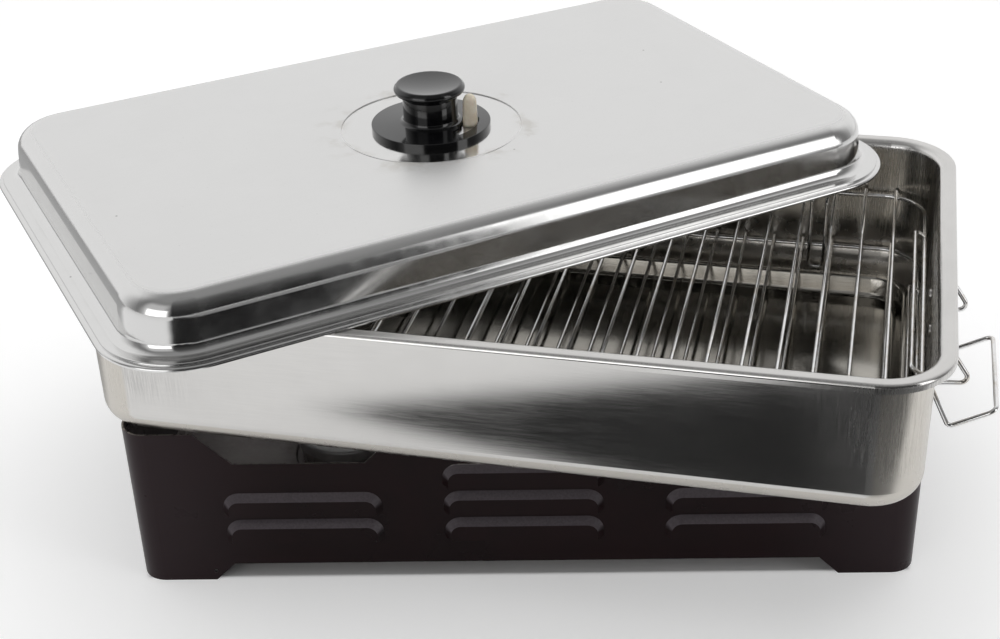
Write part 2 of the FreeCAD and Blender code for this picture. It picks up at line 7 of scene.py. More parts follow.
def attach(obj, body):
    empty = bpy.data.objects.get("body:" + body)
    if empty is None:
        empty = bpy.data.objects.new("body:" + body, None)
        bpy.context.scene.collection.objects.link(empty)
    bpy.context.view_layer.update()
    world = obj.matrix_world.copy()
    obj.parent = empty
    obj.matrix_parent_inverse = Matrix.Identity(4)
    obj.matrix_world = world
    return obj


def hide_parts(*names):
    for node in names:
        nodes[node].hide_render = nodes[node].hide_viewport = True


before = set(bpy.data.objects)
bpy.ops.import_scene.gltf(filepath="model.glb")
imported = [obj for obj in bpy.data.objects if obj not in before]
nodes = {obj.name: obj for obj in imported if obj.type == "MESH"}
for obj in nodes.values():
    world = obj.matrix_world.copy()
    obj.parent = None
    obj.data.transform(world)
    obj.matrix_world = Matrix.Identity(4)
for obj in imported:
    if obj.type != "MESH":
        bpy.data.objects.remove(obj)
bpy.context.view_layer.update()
MM = 0.001

# Where the stand, the pan and the lid lie: X, Y and Z in millimetres, and a turn in degrees
STAND_PLACE = (0.0, 0.0, 0.0, 0.0)
PAN_PLACE = (7.6, -38.5, 91.3, -11.92)
LID_PLACE = (-46.0, 22.8, 166.2, 28.5)

# Sizes in millimetres, from the middle and the underside of the stand, the pan or the lid
STAND_HALF_X = 201.0
STAND_HALF_Y = 122.5
NOTCH_FLOOR = 66.4
LOUVRES_END = 74.0
BURNER_X = 101.0
BURNER_Y = -23.3
GAUZE_PITCH = 1.3
PAN_WALL_X = 201.3
PAN_WALL_Y = 123.1
PAN_RIM = 72.0
RACK_PITCH = 16.4
WIRES_EACH_SIDE = 11
WELD_Y = 118.5
LOWER_RACK = 10.2
UPPER_RACK = 43.7
LID_TOP = 28.2
CIRCLE_RADIUS = 48.0
KNOB_X = -4.8
KNOB_Y = -6.8
VENT_RADIUS = 21.2
VENT_ANGLE = -35.0

# The studio: lamp power in watts, the boxes' strength, and the camera in metres and degrees
LAMP_POWER = 16.5
BOX_STRENGTH = 1.9
CAMERA_PLACE = (0.01796, -0.78999, 0.54212)
CAMERA_TURN = (59.8453, 1.7818, 1.2470)
CAMERA_LENS = 58.93


def new_material(name):
    material = bpy.data.materials.new(name)
    material.use_nodes = True
    tree = material.node_tree
    tree.nodes.clear()
    output = tree.nodes.new("ShaderNodeOutputMaterial")
    return material, tree, output


def link(tree, source, target):
    tree.links.new(source, target)


def feed(tree, value, socket):
    """Links a socket to another one, or sets it to a plain value."""
    if isinstance(value, bpy.types.NodeSocket):
        link(tree, value, socket)
    else:
        socket.default_value = value


def fed_by(shader, name):
    """What is linked to one of a shader's sockets."""
    return shader.inputs[name].links[0].from_socket


def add(tree, kind, **inputs):
    """A new node, with its inputs named in words joined by underscores."""
    node = tree.nodes.new(kind)
    for name, value in inputs.items():
        feed(tree, value, node.inputs[name.replace("_", " ")])
    return node


def maths(tree, operation, first, second=0.0, clamp=False):
    node = tree.nodes.new("ShaderNodeMath")
    node.operation = operation
    node.use_clamp = clamp
    feed(tree, first, node.inputs[0])
    feed(tree, second, node.inputs[1])
    return node.outputs[0]


def times(tree, first, *others):
    """The product of values or sockets."""
    result = first
    for value in others:
        result = maths(tree, "MULTIPLY", result, value)
    return result


def size_of(tree, value):
    """A value without its sign."""
    return maths(tree, "ABSOLUTE", value)


def distance(tree, dx, dy):
    """How far a point lies from an upright axis."""
    return maths(tree, "SQRT", maths(tree, "ADD", times(tree, dx, dx), times(tree, dy, dy)))


def ramp(tree, value, low, high, from_value=0.0, to_value=1.0):
    """Maps a value smoothly from low..high to from_value..to_value."""
    node = tree.nodes.new("ShaderNodeMapRange")
    node.interpolation_type = "SMOOTHSTEP"
    link(tree, value, node.inputs["Value"])
    node.inputs["From Min"].default_value = low
    node.inputs["From Max"].default_value = high
    node.inputs["To Min"].default_value = from_value
    node.inputs["To Max"].default_value = to_value
    return node.outputs["Result"]


def fall(tree, value, low, high):
    """One below low, and nothing above high."""
    return ramp(tree, value, low, high, 1.0, 0.0)


def spread(tree, value, from_value=0.0, to_value=1.0):
    """Spreads a noise value, which lies mostly between 0.3 and 0.7, over a range."""
    return ramp(tree, value, 0.3, 0.7, from_value, to_value)


def blend(tree, share, first, second):
    """A colour between two colours or sockets."""
    node = tree.nodes.new("ShaderNodeMix")
    node.data_type = "RGBA"
    link(tree, share, node.inputs[0])
    sockets = [s for s in node.inputs if s.type == "RGBA"]
    for socket, value in zip(sockets, (first, second)):
        feed(tree, (*value, 1.0) if isinstance(value, tuple) else value, socket)
    return [s for s in node.outputs if s.type == "RGBA"][0]


def float_mix(tree, share, first, second):
    """A value between two values or sockets."""
    node = tree.nodes.new("ShaderNodeMix")
    node.data_type = "FLOAT"
    link(tree, share, node.inputs[0])
    feed(tree, first, node.inputs[2])
    feed(tree, second, node.inputs[3])
    return node.outputs[0]


def normal_mix(tree, share, first, second):
    """A direction between two directions."""
    node = tree.nodes.new("ShaderNodeMix")
    node.data_type = "VECTOR"
    link(tree, share, node.inputs[0])
    sockets = [s for s in node.inputs if s.type == "VECTOR"]
    link(tree, first, sockets[-2])
    link(tree, second, sockets[-1])
    return [s for s in node.outputs if s.type == "VECTOR"][0]


def split(tree, vector):
    node = tree.nodes.new("ShaderNodeSeparateXYZ")
    link(tree, vector, node.inputs[0])
    return node.outputs


def local_place(tree, place):
    """The point in millimetres, seen from the stand, the pan or the lid."""
    x, y, z, turn = place
    coordinates = tree.nodes.new("ShaderNodeTexCoord")
    mapping = tree.nodes.new("ShaderNodeMapping")
    link(tree, coordinates.outputs["Object"], mapping.inputs["Vector"])
    mapping.inputs["Rotation"].default_value = (0.0, 0.0, math.radians(-turn))
    mapping.inputs["Scale"].default_value = (1.0 / MM, 1.0 / MM, 1.0 / MM)
    mapping.inputs["Location"].default_value = (
        Matrix.Rotation(math.radians(-turn), 3, "Z") @ Vector((-x, -y, -z)))
    return mapping.outputs["Vector"]


def surface_normal(tree):
    """The surface's own direction, split into X, Y and Z."""
    geometry = tree.nodes.new("ShaderNodeNewGeometry")
    return split(tree, geometry.outputs["Normal"])


def noise(tree, vector, scale, detail=4.0, roughness=0.55, stretch=(1.0, 1.0, 1.0)):
    mapping = tree.nodes.new("ShaderNodeMapping")
    link(tree, vector, mapping.inputs["Vector"])
    mapping.inputs["Scale"].default_value = stretch
    node = add(tree, "ShaderNodeTexNoise", Vector=mapping.outputs["Vector"],
               Scale=scale, Detail=detail, Roughness=roughness)
    return node.outputs["Fac"]


def bump(tree, height, strength, distance_mm):
    node = add(tree, "ShaderNodeBump", Strength=strength, Distance=distance_mm * MM, Height=height)
    return node.outputs["Normal"]


def principled(tree, output, **inputs):
    shader = add(tree, "ShaderNodeBsdfPrincipled", **inputs)
    link(tree, shader.outputs[0], output.inputs["Surface"])
    return shader


def steel(name, place, colour, rough, streak, streak_scale, dark,
          specks=0.0, relief=0.12, metallic=1.0):
    """Rolled or brushed steel with streaks along one direction, faint smears and fine specks."""
    material, tree, output = new_material(name)
    where = local_place(tree, place)
    fine = noise(tree, where, streak_scale, 3.0, 0.6, streak)
    broad = noise(tree, where, 0.018, 4.0, 0.6)
    smear = noise(tree, where, 0.05, 5.0, 0.65, (0.35, 1.0, 1.0))
    share = maths(tree, "ADD", times(tree, spread(tree, fine), 0.5),
                  times(tree, ramp(tree, broad, 0.35, 0.65), 0.5))
    tint = blend(tree, share, tuple(c * dark for c in colour), colour)
    if specks:
        marks = ramp(tree, noise(tree, where, 0.9, 2.0, 0.7), 0.70, 0.76)
        tint = blend(tree, times(tree, marks, specks), tint, (0.20, 0.17, 0.13))
    roughness = maths(tree, "ADD", spread(tree, fine, rough * 0.85, rough * 1.15),
                      ramp(tree, smear, 0.4, 0.7, 0.0, rough * 0.25))
    shader = principled(tree, output, Base_Color=tint, Roughness=roughness, Metallic=metallic,
                        Normal=bump(tree, fine, relief, 0.02))
    return material, tree, shader, where


def plain_steel(*values, **extra):
    """A steel to which nothing more is added."""
    return steel(*values, **extra)[0]


def lid_tint(tree, where, radius, top, tint):
    """The lid's colour, with grease round its circle, faint scratches and lone dark specks."""
    ring = times(tree, ramp(tree, radius, CIRCLE_RADIUS - 6.0, CIRCLE_RADIUS + 2.0),
                 fall(tree, radius, CIRCLE_RADIUS + 4.0, CIRCLE_RADIUS + 18.0))
    grease = times(tree, ring, ramp(tree, noise(tree, where, 0.045, 5.0, 0.6), 0.50, 0.66))
    tint = blend(tree, times(tree, grease, 0.55), tint, (0.50, 0.48, 0.44))
    hair = noise(tree, where, 0.5, 2.0, 0.5, (0.05, 2.4, 1.0))
    scratch = times(tree, ramp(tree, hair, 0.76, 0.79), top)
    tint = blend(tree, times(tree, scratch, 0.06), tint, (0.42, 0.41, 0.40))
    cells = add(tree, "ShaderNodeTexVoronoi", Vector=where, Scale=0.045)
    lone = ramp(tree, split(tree, cells.outputs["Color"])[0], 0.55, 0.56)
    speck = times(tree, fall(tree, cells.outputs["Distance"], 0.022, 0.032), lone)
    return blend(tree, times(tree, speck, 0.6), tint, (0.10, 0.09, 0.08))


def outward_normal(tree, dx, dy, slope):
    """A direction that leans away from an upright axis, more so farther out."""
    out = tree.nodes.new("ShaderNodeCombineXYZ")
    link(tree, times(tree, dx, slope), out.inputs[0])
    link(tree, times(tree, dy, slope), out.inputs[1])
    out.inputs[2].default_value = 1.0
    unit = tree.nodes.new("ShaderNodeVectorMath")
    unit.operation = "NORMALIZE"
    link(tree, out.outputs[0], unit.inputs[0])
    return unit.outputs[0]


def lid_steel():
    """The lid: satin on top, bright on its edges and mirror-like inside the sunk circle."""
    material, tree, shader, where = steel(
        "lid_satin_steel", LID_PLACE, (0.715, 0.712, 0.706), 0.30, (0.03, 1.0, 1.0), 2.2, 0.97,
        specks=0.3, relief=0.03)
    x, y, z = split(tree, where)
    up = surface_normal(tree)[2]
    dx = maths(tree, "SUBTRACT", x, KNOB_X)
    dy = maths(tree, "SUBTRACT", y, KNOB_Y)
    radius = distance(tree, dx, dy)
    top = ramp(tree, z, LID_TOP - 0.8, LID_TOP)
    near_top = ramp(tree, z, LID_TOP - 2.2, LID_TOP - 1.2)
    satin = times(tree, ramp(tree, up, 0.93, 0.995),
                  ramp(tree, radius, CIRCLE_RADIUS - 1.0, CIRCLE_RADIUS + 0.6), top)
    tint = lid_tint(tree, where, radius, top, fed_by(shader, "Base Color"))
    link(tree, tint, shader.inputs["Base Color"])
    bright = spread(tree, noise(tree, where, 0.08, 4.0), 0.10, 0.17)
    even = spread(tree, noise(tree, where, 0.02, 4.0), 0.29, 0.315)
    link(tree, float_mix(tree, satin, bright, even), shader.inputs["Roughness"])
    # The circle's pressed edge is frosted.
    frosted = times(tree, ramp(tree, radius, CIRCLE_RADIUS - 1.2, CIRCLE_RADIUS - 0.8), near_top,
                    fall(tree, up, 0.985, 0.999),
                    fall(tree, radius, CIRCLE_RADIUS + 1.5, CIRCLE_RADIUS + 2.5))
    metallic = float_mix(tree, satin, 1.0, 0.55)
    link(tree, float_mix(tree, frosted, metallic, 0.1), shader.inputs["Metallic"])
    # Just outside the circle, the sheet is bent along a line at the side near the stand's front.
    turn = math.radians(LID_PLACE[3])
    world_dx = maths(tree, "SUBTRACT", times(tree, dx, math.cos(turn)), times(tree, dy, math.sin(turn)))
    world_dy = maths(tree, "ADD", times(tree, dx, math.sin(turn)), times(tree, dy, math.cos(turn)))
    line = times(tree, ramp(tree, radius, CIRCLE_RADIUS + 0.3, CIRCLE_RADIUS + 0.7),
                 fall(tree, radius, CIRCLE_RADIUS + 1.1, CIRCLE_RADIUS + 1.5), near_top,
                 fall(tree, world_dy, -34.0, -12.0))
    leaning = outward_normal(tree, world_dx, world_dy, 1.6 / CIRCLE_RADIUS)
    link(tree, normal_mix(tree, line, fed_by(shader, "Normal"), leaning), shader.inputs["Normal"])
    return material


def pan_steel():
    """The pan: brushed outside, browned inside, with drawing marks up its corners and a satin rim."""
    material, tree, shader, where = steel(
        "pan_brushed_steel", PAN_PLACE, (0.70, 0.69, 0.675), 0.10, (0.03, 0.03, 1.0), 2.0, 0.93)
    x, y, z = split(tree, where)
    along = size_of(tree, x)
    across = size_of(tree, y)
    up = surface_normal(tree)[2]
    inside = times(tree, fall(tree, along, PAN_WALL_X - 0.1, PAN_WALL_X + 0.1),
                   fall(tree, across, PAN_WALL_Y - 0.1, PAN_WALL_Y + 0.1),
                   ramp(tree, z, 0.3, 0.5), fall(tree, z, PAN_RIM - 5.0, PAN_RIM))
    # Marks that the press left where the corners were drawn
    draw = noise(tree, where, 1.5, 3.0, 0.6, (1.0, 1.0, 0.035))
    wall = times(tree, ramp(tree, along, 128.0, 185.0), ramp(tree, across, 60.0, 105.0),
                 ramp(tree, z, 12.0, 34.0), fall(tree, up, 0.35, 0.6))
    marks = times(tree, wall, ramp(tree, draw, 0.36, 0.66), 0.45)
    tint = blend(tree, marks, fed_by(shader, "Base Color"), (0.33, 0.325, 0.32))
    # Oil and smoke have browned the inside a little.
    tint = blend(tree, times(tree, inside, 0.85), tint, (0.60, 0.57, 0.52))
    link(tree, tint, shader.inputs["Base Color"])
    greasy = spread(tree, noise(tree, where, 0.05, 4.0), 0.20, 0.32)
    rough = float_mix(tree, inside, fed_by(shader, "Roughness"), greasy)
    rough = float_mix(tree, wall, rough, spread(tree, draw, 0.16, 0.34))
    rim = times(tree, ramp(tree, up, 0.6, 0.9), ramp(tree, z, PAN_RIM, PAN_RIM + 1.6))
    rough = float_mix(tree, rim, rough, spread(tree, draw, 0.28, 0.38))
    link(tree, rough, shader.inputs["Roughness"])
    return material


def plated_wire():
    """Plated wire with a faint heat tint and duller patches."""
    material, tree, output = new_material("wire_plated_steel")
    where = local_place(tree, PAN_PLACE)
    patches = noise(tree, where, 0.12, 5.0, 0.65)
    fine = noise(tree, where, 2.5, 2.0)
    tint = blend(tree, ramp(tree, patches, 0.45, 0.75), (0.80, 0.80, 0.80), (0.64, 0.592, 0.528))
    principled(tree, output, Base_Color=tint, Roughness=spread(tree, patches, 0.063, 0.135),
               Metallic=1.0, Normal=bump(tree, fine, 0.08, 0.02))
    return material


def enamel():
    """The stand's dark brown baked enamel, with a fine orange peel, dust, bare cut edges, and painted
    highlights on its louvres and toward its ends.
    """
    material, tree, output = new_material("stand_brown_enamel")
    where = local_place(tree, STAND_PLACE)
    x, y, z = split(tree, where)
    normal = surface_normal(tree)
    sideways = size_of(tree, normal[0])
    up = normal[2]
    peel = noise(tree, where, 0.9, 3.0, 0.5)
    cloud = noise(tree, where, 0.02, 5.0, 0.6)
    dust = ramp(tree, noise(tree, where, 1.6, 3.0, 0.7), 0.66, 0.74)
    base = blend(tree, ramp(tree, cloud, 0.35, 0.65), (0.0055, 0.0006, 0.0011), (0.0085, 0.0013, 0.0019))
    base = blend(tree, times(tree, dust, 0.15), base, (0.075, 0.055, 0.05))
    # The enamel is painted lighter toward the two ends: a painted sheen where the corners catch the
    # light.
    ends = ramp(tree, size_of(tree, x), 110.0, 215.0, 0.0, 0.8)
    base = blend(tree, ends, base, (0.036, 0.024, 0.027))
    # The slopes of the louvres, which face upward, and their tips are painted lighter: a painted
    # highlight.
    slopes = times(tree, ramp(tree, up, 0.12, 0.85), fall(tree, z, LOUVRES_END, LOUVRES_END + 2.0))
    tips = times(tree, sideways, ramp(tree, up, 0.05, 0.4), 1.2)
    # This mask holds the painted highlight on the louvres.
    dusty = maths(tree, "ADD", slopes, tips, True)
    dusty = times(tree, dusty, ramp(tree, peel, 0.2, 0.8, 0.75, 1.0))
    base = blend(tree, dusty, base, (0.115, 0.10, 0.11))
    # The sheet's cut edge is worn bare in places. The louvres stand out past it.
    edge = times(tree, ramp(tree, up, 0.6, 0.7),
                 fall(tree, size_of(tree, y), STAND_HALF_Y + 0.1, STAND_HALF_Y + 0.4),
                 ramp(tree, z, NOTCH_FLOOR + 0.2, NOTCH_FLOOR + 0.8))
    worn = times(tree, edge, ramp(tree, noise(tree, where, 0.35, 4.0, 0.7), 0.38, 0.52))
    base = blend(tree, worn, base, (0.33, 0.31, 0.29))
    roughness = maths(tree, "ADD", spread(tree, cloud, 0.26, 0.34), times(tree, dust, 0.2))
    principled(tree, output, Base_Color=base, Roughness=roughness, Metallic=times(tree, worn, 0.8),
               Specular_IOR_Level=0.14, Normal=bump(tree, peel, 0.2, 0.04))
    return material


def base_plate_metal():
    """The plate under the burners: dull coated steel with a painted shadow round each burner's seat."""
    material, tree, output = new_material("plate_dull_steel")
    where = local_place(tree, STAND_PLACE)
    place = split(tree, where)
    cloud = noise(tree, where, 0.03, 6.0, 0.65)
    grain = noise(tree, where, 1.2, 3.0, 0.6)
    base = blend(tree, spread(tree, cloud), (0.24, 0.215, 0.21), (0.36, 0.33, 0.32))
    radius = distance(tree, maths(tree, "SUBTRACT", size_of(tree, place[0]), BURNER_X),
                      maths(tree, "SUBTRACT", place[1], BURNER_Y))
    # A painted shadow darkens the plate round each burner's seat, with a ragged edge.
    painted_shadow_reach = maths(tree, "ADD", radius, times(tree, cloud, 30.0))
    base = blend(tree, ramp(tree, painted_shadow_reach, 40.0, 62.0, 0.5, 0.0), base, (0.035, 0.026, 0.024))
    principled(tree, output, Base_Color=base, Roughness=spread(tree, grain, 0.42, 0.58),
               Metallic=spread(tree, cloud, 0.55, 0.35), Normal=bump(tree, grain, 0.2, 0.05))
    return material


def phenolic():
    """The knob's glossy black moulding, a little uneven and dusty."""
    material, tree, output = new_material("knob_black_phenolic")
    where = local_place(tree, LID_PLACE)
    cloud = noise(tree, where, 0.12, 4.0, 0.6)
    fine = noise(tree, where, 1.8, 2.0, 0.5)
    dust = ramp(tree, noise(tree, where, 2.4, 2.0, 0.7), 0.69, 0.76)
    base = blend(tree, spread(tree, cloud), (0.0025, 0.0025, 0.003), (0.005, 0.005, 0.0055))
    base = blend(tree, times(tree, dust, 0.12), base, (0.10, 0.095, 0.09))
    principled(tree, output, Base_Color=base, Roughness=spread(tree, cloud, 0.07, 0.13),
               Coat_Weight=0.3, Coat_Roughness=0.04, Normal=bump(tree, fine, 0.05, 0.02))
    return material


def cream_plastic():
    """The vent lever's heat-proof cream moulding, a little yellowed."""
    material, tree, output = new_material("lever_cream_moulding")
    where = local_place(tree, LID_PLACE)
    cloud = noise(tree, where, 0.25, 4.0, 0.6)
    fine = noise(tree, where, 3.0, 2.0)
    base = blend(tree, spread(tree, cloud), (0.72, 0.63, 0.49), (0.81, 0.74, 0.61))
    principled(tree, output, Base_Color=base, Roughness=spread(tree, cloud, 0.32, 0.42),
               Subsurface_Weight=0.15, Subsurface_Radius=(0.002, 0.0012, 0.0006),
               Normal=bump(tree, fine, 0.1, 0.03))
    return material


def wadding():
    """Loose mineral fibre, with painted shade in its hollows."""
    material, tree, output = new_material("wadding_mineral_fibre")
    where = local_place(tree, STAND_PLACE)
    strands = noise(tree, where, 1.4, 6.0, 0.75, (0.3, 1.6, 1.0))
    cross = noise(tree, where, 1.2, 6.0, 0.75, (1.6, 0.3, 1.0))
    pile = times(tree, strands, cross)
    # Where the pile is low, the fibre is painted darker: painted shade in the hollows.
    base = blend(tree, ramp(tree, pile, 0.15, 0.4), (0.42, 0.38, 0.31), (0.80, 0.77, 0.69))
    principled(tree, output, Base_Color=base, Roughness=ramp(tree, pile, 0.15, 0.4, 0.98, 0.85),
               Normal=bump(tree, pile, 0.8, 1.0))
    return material


def brass():
    """The knob insert's turned brass."""
    material, tree, output = new_material("insert_turned_brass")
    where = local_place(tree, LID_PLACE)
    rings = noise(tree, where, 2.0, 3.0, 0.6, (0.1, 0.1, 2.0))
    tint = blend(tree, spread(tree, rings), (0.60, 0.42, 0.16), (0.74, 0.56, 0.26))
    principled(tree, output, Base_Color=tint, Roughness=spread(tree, rings, 0.22, 0.34),
               Metallic=1.0, Normal=bump(tree, rings, 0.2, 0.03))
    return material


def gauze():
    """Plain-woven wire cloth, with painted shade in the gaps between its wires."""
    material, tree, output = new_material("gauze_woven_wire")
    where = local_place(tree, STAND_PLACE)
    x_wires, y_wires = [
        size_of(tree, maths(tree, "SINE", times(tree, place, math.pi / GAUZE_PITCH)))
        for place in split(tree, where)[:2]]
    wire = maths(tree, "MAXIMUM", x_wires, y_wires)
    scorch = noise(tree, where, 0.15, 4.0, 0.6)
    metal = blend(tree, ramp(tree, scorch, 0.35, 0.65), (0.40, 0.37, 0.33), (0.62, 0.60, 0.57))
    # The gaps between the wires are painted nearly black: painted shade.
    base = blend(tree, ramp(tree, wire, 0.62, 0.80), (0.02, 0.018, 0.016), metal)
    principled(tree, output, Base_Color=base, Roughness=spread(tree, scorch, 0.26, 0.42),
               Metallic=1.0, Normal=bump(tree, wire, 0.9, 0.4))
    return material


def node_materials():
    """The material of each node, by its name."""
    wire = plated_wire()
    moulding = phenolic()
    strap = plain_steel("strap_rolled_steel", PAN_PLACE, (0.60, 0.59, 0.58), 0.24,
                        (1.0, 0.05, 1.0), 2.4, 0.82)
    fixing = plain_steel("fixing_zinc_steel", LID_PLACE, (0.56, 0.56, 0.58), 0.28,
                         (1.0, 1.0, 0.2), 1.8, 0.80, specks=0.3)
    table = {
        "stand_shell": enamel(),
        "base_plate": base_plate_metal(),
        "pan_shell": pan_steel(),
        "lid_shell": lid_steel(),
        "drip_tray": plain_steel("tray_polished_steel", PAN_PLACE, (0.47, 0.45, 0.41), 0.11,
                                 (0.05, 1.0, 1.0), 1.2, 0.86),
        "vent_shutter": plain_steel("shutter_polished_steel", LID_PLACE, (0.62, 0.62, 0.62), 0.16,
                                    (0.3, 1.0, 1.0), 1.6, 0.85),
        "vent_lever": cream_plastic(),
        "knob_base": moulding,
        "knob_grip": moulding,
        "knob_insert": brass(),
        "knob_screw": fixing,
        "knob_washer": fixing,
        "upper_rack_legs": wire,
    }
    for rack in ("lower_rack", "upper_rack"):
        table[rack + "_frame"] = wire
        table[rack + "_wires"] = wire
    sides = {
        "handle_": wire,
        "handle_strap_": strap,
        "strap_rivets_": strap,
        "burner_cup_": plain_steel("burner_bright_steel", STAND_PLACE, (0.80, 0.79, 0.78), 0.30,
                                   (1.0, 1.0, 0.1), 1.4, 0.80, specks=0.2),
        "burner_ring_": plain_steel("ring_bright_plating", STAND_PLACE, (0.90, 0.895, 0.885), 0.32,
                                    (1.0, 1.0, 0.1), 1.4, 0.92, specks=0.15, metallic=0.45),
        "burner_gauze_": gauze(),
        "burner_wool_": wadding(),
    }
    for start, material in sides.items():
        table[start + "left"] = material
        table[start + "right"] = material
    return table


def placed(place, x, y, z):
    """A point of the pan or the lid in the shared frame, in metres."""
    turn = math.radians(place[3])
    return ((place[0] + x * math.cos(turn) - y * math.sin(turn)) * MM,
            (place[1] + x * math.sin(turn) + y * math.cos(turn)) * MM, (place[2] + z) * MM)


def new_piece(name, points, faces, material):
    mesh = bpy.data.meshes.new(name)
    mesh.from_pydata(points, [], faces)
    mesh.update()
    for face in mesh.polygons:
        face.use_smooth = True
    mesh.materials.append(material)
    piece = bpy.data.objects.new(name, mesh)
    bpy.context.scene.collection.objects.link(piece)
    return piece


def stacked_faces(start, rings, sides):
    """The skin over rings of points that lie one above the other, with both ends closed."""
    faces = []
    for row in range(start, start + (rings - 1) * sides, sides):
        for side in range(sides):
            after = (side + 1) % sides
            faces.append((row + side, row + after, row + sides + after, row + sides + side))
    last = start + (rings - 1) * sides
    faces.append(tuple(start + side for side in reversed(range(sides))))
    faces.append(tuple(last + side for side in range(sides)))
    return faces


def lever(material):
    """The vent lever as a tapered tab with a domed end."""
    angle = math.radians(VENT_ANGLE)
    half_wide, half_thick, high, foot, dome_high = 4.05, 3.15, 17.7, 29.55, 4.6
    taper, squareness, bluntness, tip = 0.16, 0.62, 2.2, 0.02
    rings, sides = 23, 40
    points = []
    for ring in range(rings):
        level = high * math.sin(ring / (rings - 1) * math.pi / 2.0)
        dome = max(level - (high - dome_high), 0.0) / dome_high
        width = (1.0 - taper * level / high) * math.sqrt(max(1.0 - dome ** bluntness, tip ** 2))
        for side in range(sides):
            turn = 2.0 * math.pi * side / sides
            c, s = math.cos(turn), math.sin(turn)
            out = VENT_RADIUS + half_wide * width * math.copysign(abs(c) ** squareness, c)
            aside = half_thick * width * math.copysign(abs(s) ** squareness, s)
            x = KNOB_X + out * math.cos(angle) - aside * math.sin(angle)
            y = KNOB_Y + out * math.sin(angle) + aside * math.cos(angle)
            points.append(placed(LID_PLACE, x, y, foot + level))
    piece = new_piece("vent_lever_tab", points, stacked_faces(0, rings, sides), material)
    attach(piece, "vent")
    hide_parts("vent_lever")


def welds(name, body, level, material):
    """Small weld beads where the cross wires sit on a rack's frame."""
    half_x, half_y, half_z, rise = 1.55, 1.5, 0.75, 1.45
    rings, sides = 5, 10
    points, faces = [], []
    for column in range(-WIRES_EACH_SIDE, WIRES_EACH_SIDE + 1):
        for end in (-1, 1):
            faces += stacked_faces(len(points), rings, sides)
            # No two beads are quite the same size.
            swell = 1.0 + 0.12 * math.sin(column * 2.3 + end)
            for ring in range(rings):
                tilt = math.pi * (ring + 1) / (rings + 1)
                for side in range(sides):
                    turn = 2.0 * math.pi * side / sides
                    x = column * RACK_PITCH + half_x * swell * math.sin(tilt) * math.cos(turn)
                    y = end * WELD_Y + half_y * swell * math.sin(tilt) * math.sin(turn)
                    z = level + rise - half_z * math.cos(tilt)
                    points.append(placed(PAN_PLACE, x, y, z))
    piece = new_piece(name, points, faces, material)
    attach(piece, body)


def table_sheet(name, low, high, level, material):
    """A flat rectangle on the table, in metres, which isn't part of the object."""
    corners = [(low[0], low[1], level), (high[0], low[1], level),
               (high[0], high[1], level), (low[0], high[1], level)]
    piece = new_piece(name, corners, [(0, 1, 2, 3)], material)
    return piece


def floor():
    """A plain white table that keeps the object's shadow."""
    material, tree, output = new_material("floor_white")
    shader = add(tree, "ShaderNodeBsdfDiffuse", Color=(0.80, 0.80, 0.80, 1.0))
    path = tree.nodes.new("ShaderNodeLightPath")
    mirrored = maths(tree, "MAXIMUM", path.outputs["Is Glossy Ray"], path.outputs["Is Transmission Ray"])
    lift = maths(tree, "ADD", times(tree, path.outputs["Is Camera Ray"], 0.35),
                 times(tree, mirrored, 0.25))
    # Under the stand the table's lift is left out, a painted shade, so nothing bright shows through its
    # openings.
    place = split(tree, local_place(tree, STAND_PLACE))
    under = times(tree, fall(tree, size_of(tree, place[0]), STAND_HALF_X - 5.0, STAND_HALF_X - 1.0),
                  fall(tree, size_of(tree, place[1]), STAND_HALF_Y - 3.5, STAND_HALF_Y - 0.5))
    glow = add(tree, "ShaderNodeEmission",
               Strength=times(tree, lift, maths(tree, "SUBTRACT", 1.0, under)))
    both = tree.nodes.new("ShaderNodeAddShader")
    link(tree, shader.outputs[0], both.inputs[0])
    link(tree, glow.outputs[0], both.inputs[1])
    link(tree, both.outputs[0], output.inputs["Surface"])
    table_sheet("floor", (-6.0, -6.0), (6.0, 6.0), 0.0, material)


def dark_cloth():
    """A dark cloth on the table in front, which only the mirroring metal sees."""
    material, tree, output = new_material("dark_cloth")
    place = split(tree, local_place(tree, STAND_PLACE))
    x, y = place[0], place[1]
    # The near patch ends in a slanting line on its left, and the far one fills the front.
    slant = maths(tree, "ADD", maths(tree, "ADD", y, 326.0),
                  times(tree, maths(tree, "ADD", x, 150.0), 0.61))
    near = times(tree, fall(tree, y, -306.0, -284.0), ramp(tree, slant, -14.0, 22.0))
    far = times(tree, fall(tree, y, -490.0, -450.0), ramp(tree, x, -300.0, -200.0))
    # A paler patch lies behind on the left.
    back = times(tree, fall(tree, x, -330.0, -230.0), ramp(tree, y, -60.0, 60.0))
    share = maths(tree, "MAXIMUM", maths(tree, "MAXIMUM", near, far), times(tree, back, 0.8))
    shade = float_mix(tree, fall(tree, y, -470.0, -430.0), ramp(tree, x, 80.0, 200.0, 0.025, 0.15),
                      ramp(tree, x, 300.0, 620.0, 0.016, 0.30))
    glow = add(tree, "ShaderNodeEmission", Strength=float_mix(tree, back, shade, 0.30))
    clear = tree.nodes.new("ShaderNodeBsdfTransparent")
    both = tree.nodes.new("ShaderNodeMixShader")
    link(tree, share, both.inputs[0])
    link(tree, clear.outputs[0], both.inputs[1])
    link(tree, glow.outputs[0], both.inputs[2])
    link(tree, both.outputs[0], output.inputs["Surface"])
    piece = table_sheet("dark_cloth", (-2.6, -2.6), (2.2, 2.0), 0.0015, material)
    piece.visible_camera = False
    piece.visible_diffuse = False
    piece.visible_shadow = False


